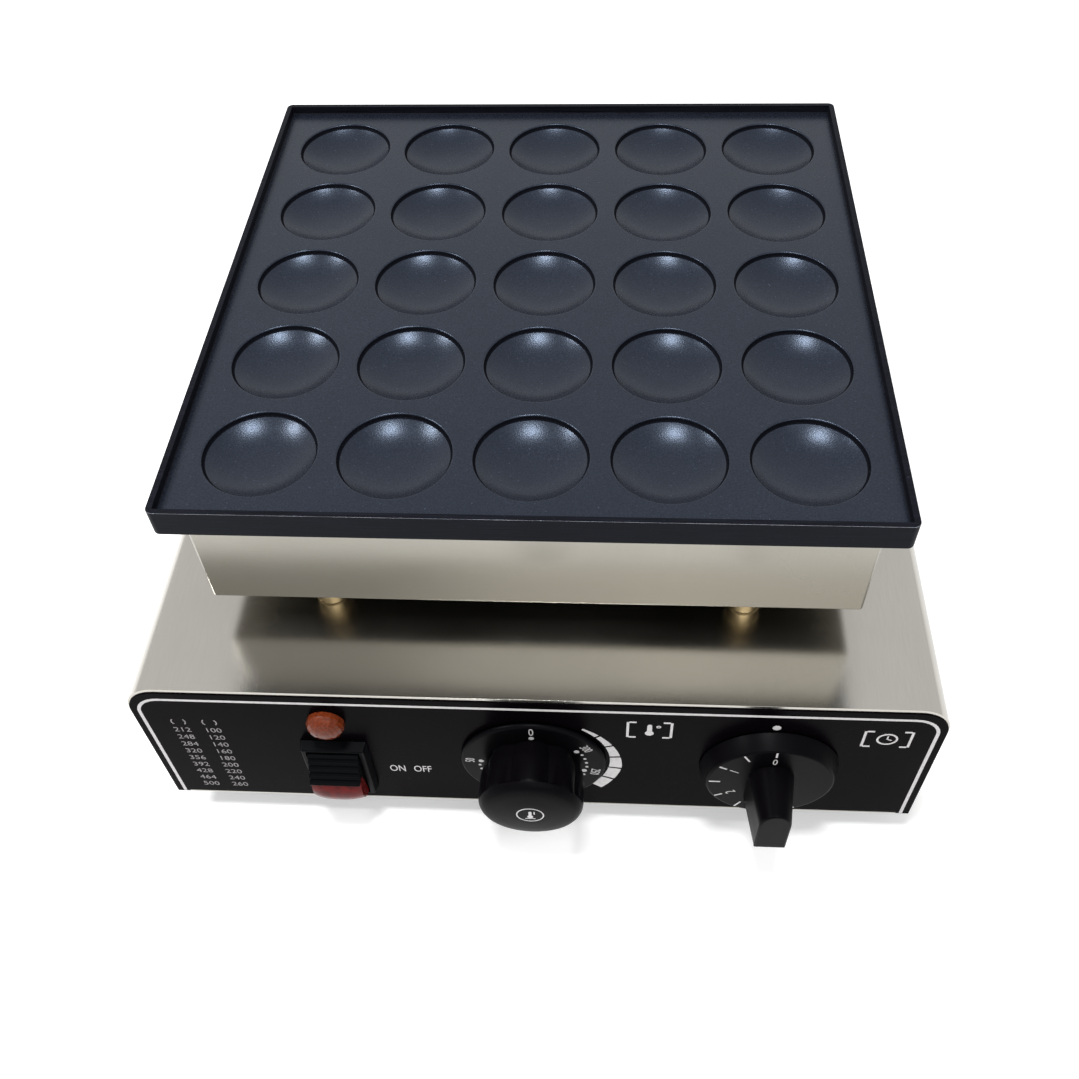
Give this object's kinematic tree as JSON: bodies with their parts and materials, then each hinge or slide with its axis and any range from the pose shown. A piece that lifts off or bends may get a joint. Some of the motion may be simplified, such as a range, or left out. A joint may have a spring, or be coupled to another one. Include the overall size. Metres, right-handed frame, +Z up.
{
  "type": "mini pancake maker",
  "caption": "Countertop mini pancake maker: plate with round cavities on a heated head, standing on spacers over a wide base with rocker switch, lamp, temperature knob and timer knob.",
  "frame": {"origin": "on the surface it stands on, under the middle of its bounding box", "axes": "+Z up, the control panel faces -Y, +X to the right of a person who stands in front of it"},
  "size_m": [0.349, 0.4014, 0.1885],
  "materials": {
    "non_stick": "charcoal non-stick coating on a casting, half gloss",
    "brushed_stainless": "brushed stainless steel sheet",
    "zinc_steel": "zinc-plated steel",
    "brass": "turned brass, satin",
    "aluminium": "plain rolled sheet",
    "panel_black": "black printed sheet, half gloss",
    "black_plastic": "black moulded plastic, satin",
    "pale_plastic": "pale heat-proof moulding",
    "black_rubber": "black rubber",
    "element_sheath": "heat-darkened steel tube",
    "ceramic_fibre": "pressed ceramic fibre",
    "copper": "bare copper",
    "red_lens": "clear red plastic",
    "orange_lens": "clear orange plastic",
    "red_wire": "red wire cover",
    "blue_wire": "blue wire cover"
  },
  "bodies": {
    "root": {"baking_plate": "non_stick", "heating_element": "element_sheath", "element_clamp_plate": "aluminium", "insulation_blanket": "ceramic_fibre", "head_housing": "brushed_stainless", "thermostat_bulb": "copper", "wiring_conduit": "zinc_steel", "conduit_nut": "zinc_steel", "bottom_plate": "zinc_steel", "terminal_block": "pale_plastic", "thermostat_lead": "red_wire", "neutral_lead": "blue_wire", "supply_lead": "red_wire", "capillary_tube": "copper", "base_shell": "brushed_stainless", "control_panel": "panel_black", "rear_panel": "zinc_steel", "thermostat_body": "pale_plastic", "thermostat_nut": "zinc_steel", "timer_body": "pale_plastic", "timer_nut": "zinc_steel", "lamp_body": "black_plastic", "lamp_lens": "orange_lens", "lamp_nut": "zinc_steel", "switch_housing": "black_plastic", "cord_gland": "black_plastic", "gland_nut": "black_plastic", "head_stud_1": "zinc_steel", "clamp_nut_1": "zinc_steel", "brass_spacer_1": "brass", "base_nut_1": "zinc_steel", "foot_1": "black_rubber", "foot_screw_1": "zinc_steel", "head_stud_2": "zinc_steel", "clamp_nut_2": "zinc_steel", "brass_spacer_2": "brass", "base_nut_2": "zinc_steel", "foot_2": "black_rubber", "foot_screw_2": "zinc_steel", "head_stud_3": "zinc_steel", "clamp_nut_3": "zinc_steel", "brass_spacer_3": "brass", "base_nut_3": "zinc_steel", "foot_3": "black_rubber", "foot_screw_3": "zinc_steel", "head_stud_4": "zinc_steel", "clamp_nut_4": "zinc_steel", "brass_spacer_4": "brass", "base_nut_4": "zinc_steel", "foot_4": "black_rubber", "foot_screw_4": "zinc_steel"},
    "temperature_dial": {"temperature_knob": "black_plastic", "thermostat_shaft": "zinc_steel"},
    "timer_dial": {"timer_knob": "black_plastic", "timer_shaft": "zinc_steel"},
    "rocker": {"rocker_cap": "black_plastic", "rocker_lens": "red_lens"}
  },
  "joints": [
    {"name": "temperature_turn", "type": "hinge", "parent": "root", "child": "temperature_dial", "pos_m": [0, -0.16925, 0.05796], "axis": [0, 1, 0], "range_deg": [0, 303]},
    {"name": "timer_turn", "type": "hinge", "parent": "root", "child": "timer_dial", "pos_m": [0.1042, -0.16925, 0.05796], "axis": [0, 1, 0], "range_deg": [0, 300]},
    {"name": "rocker_tilt", "type": "hinge", "parent": "root", "child": "rocker", "pos_m": [-0.0891, -0.17025, 0.04821], "axis": [1, 0, 0], "range_deg": [0, 20]}
  ]
}
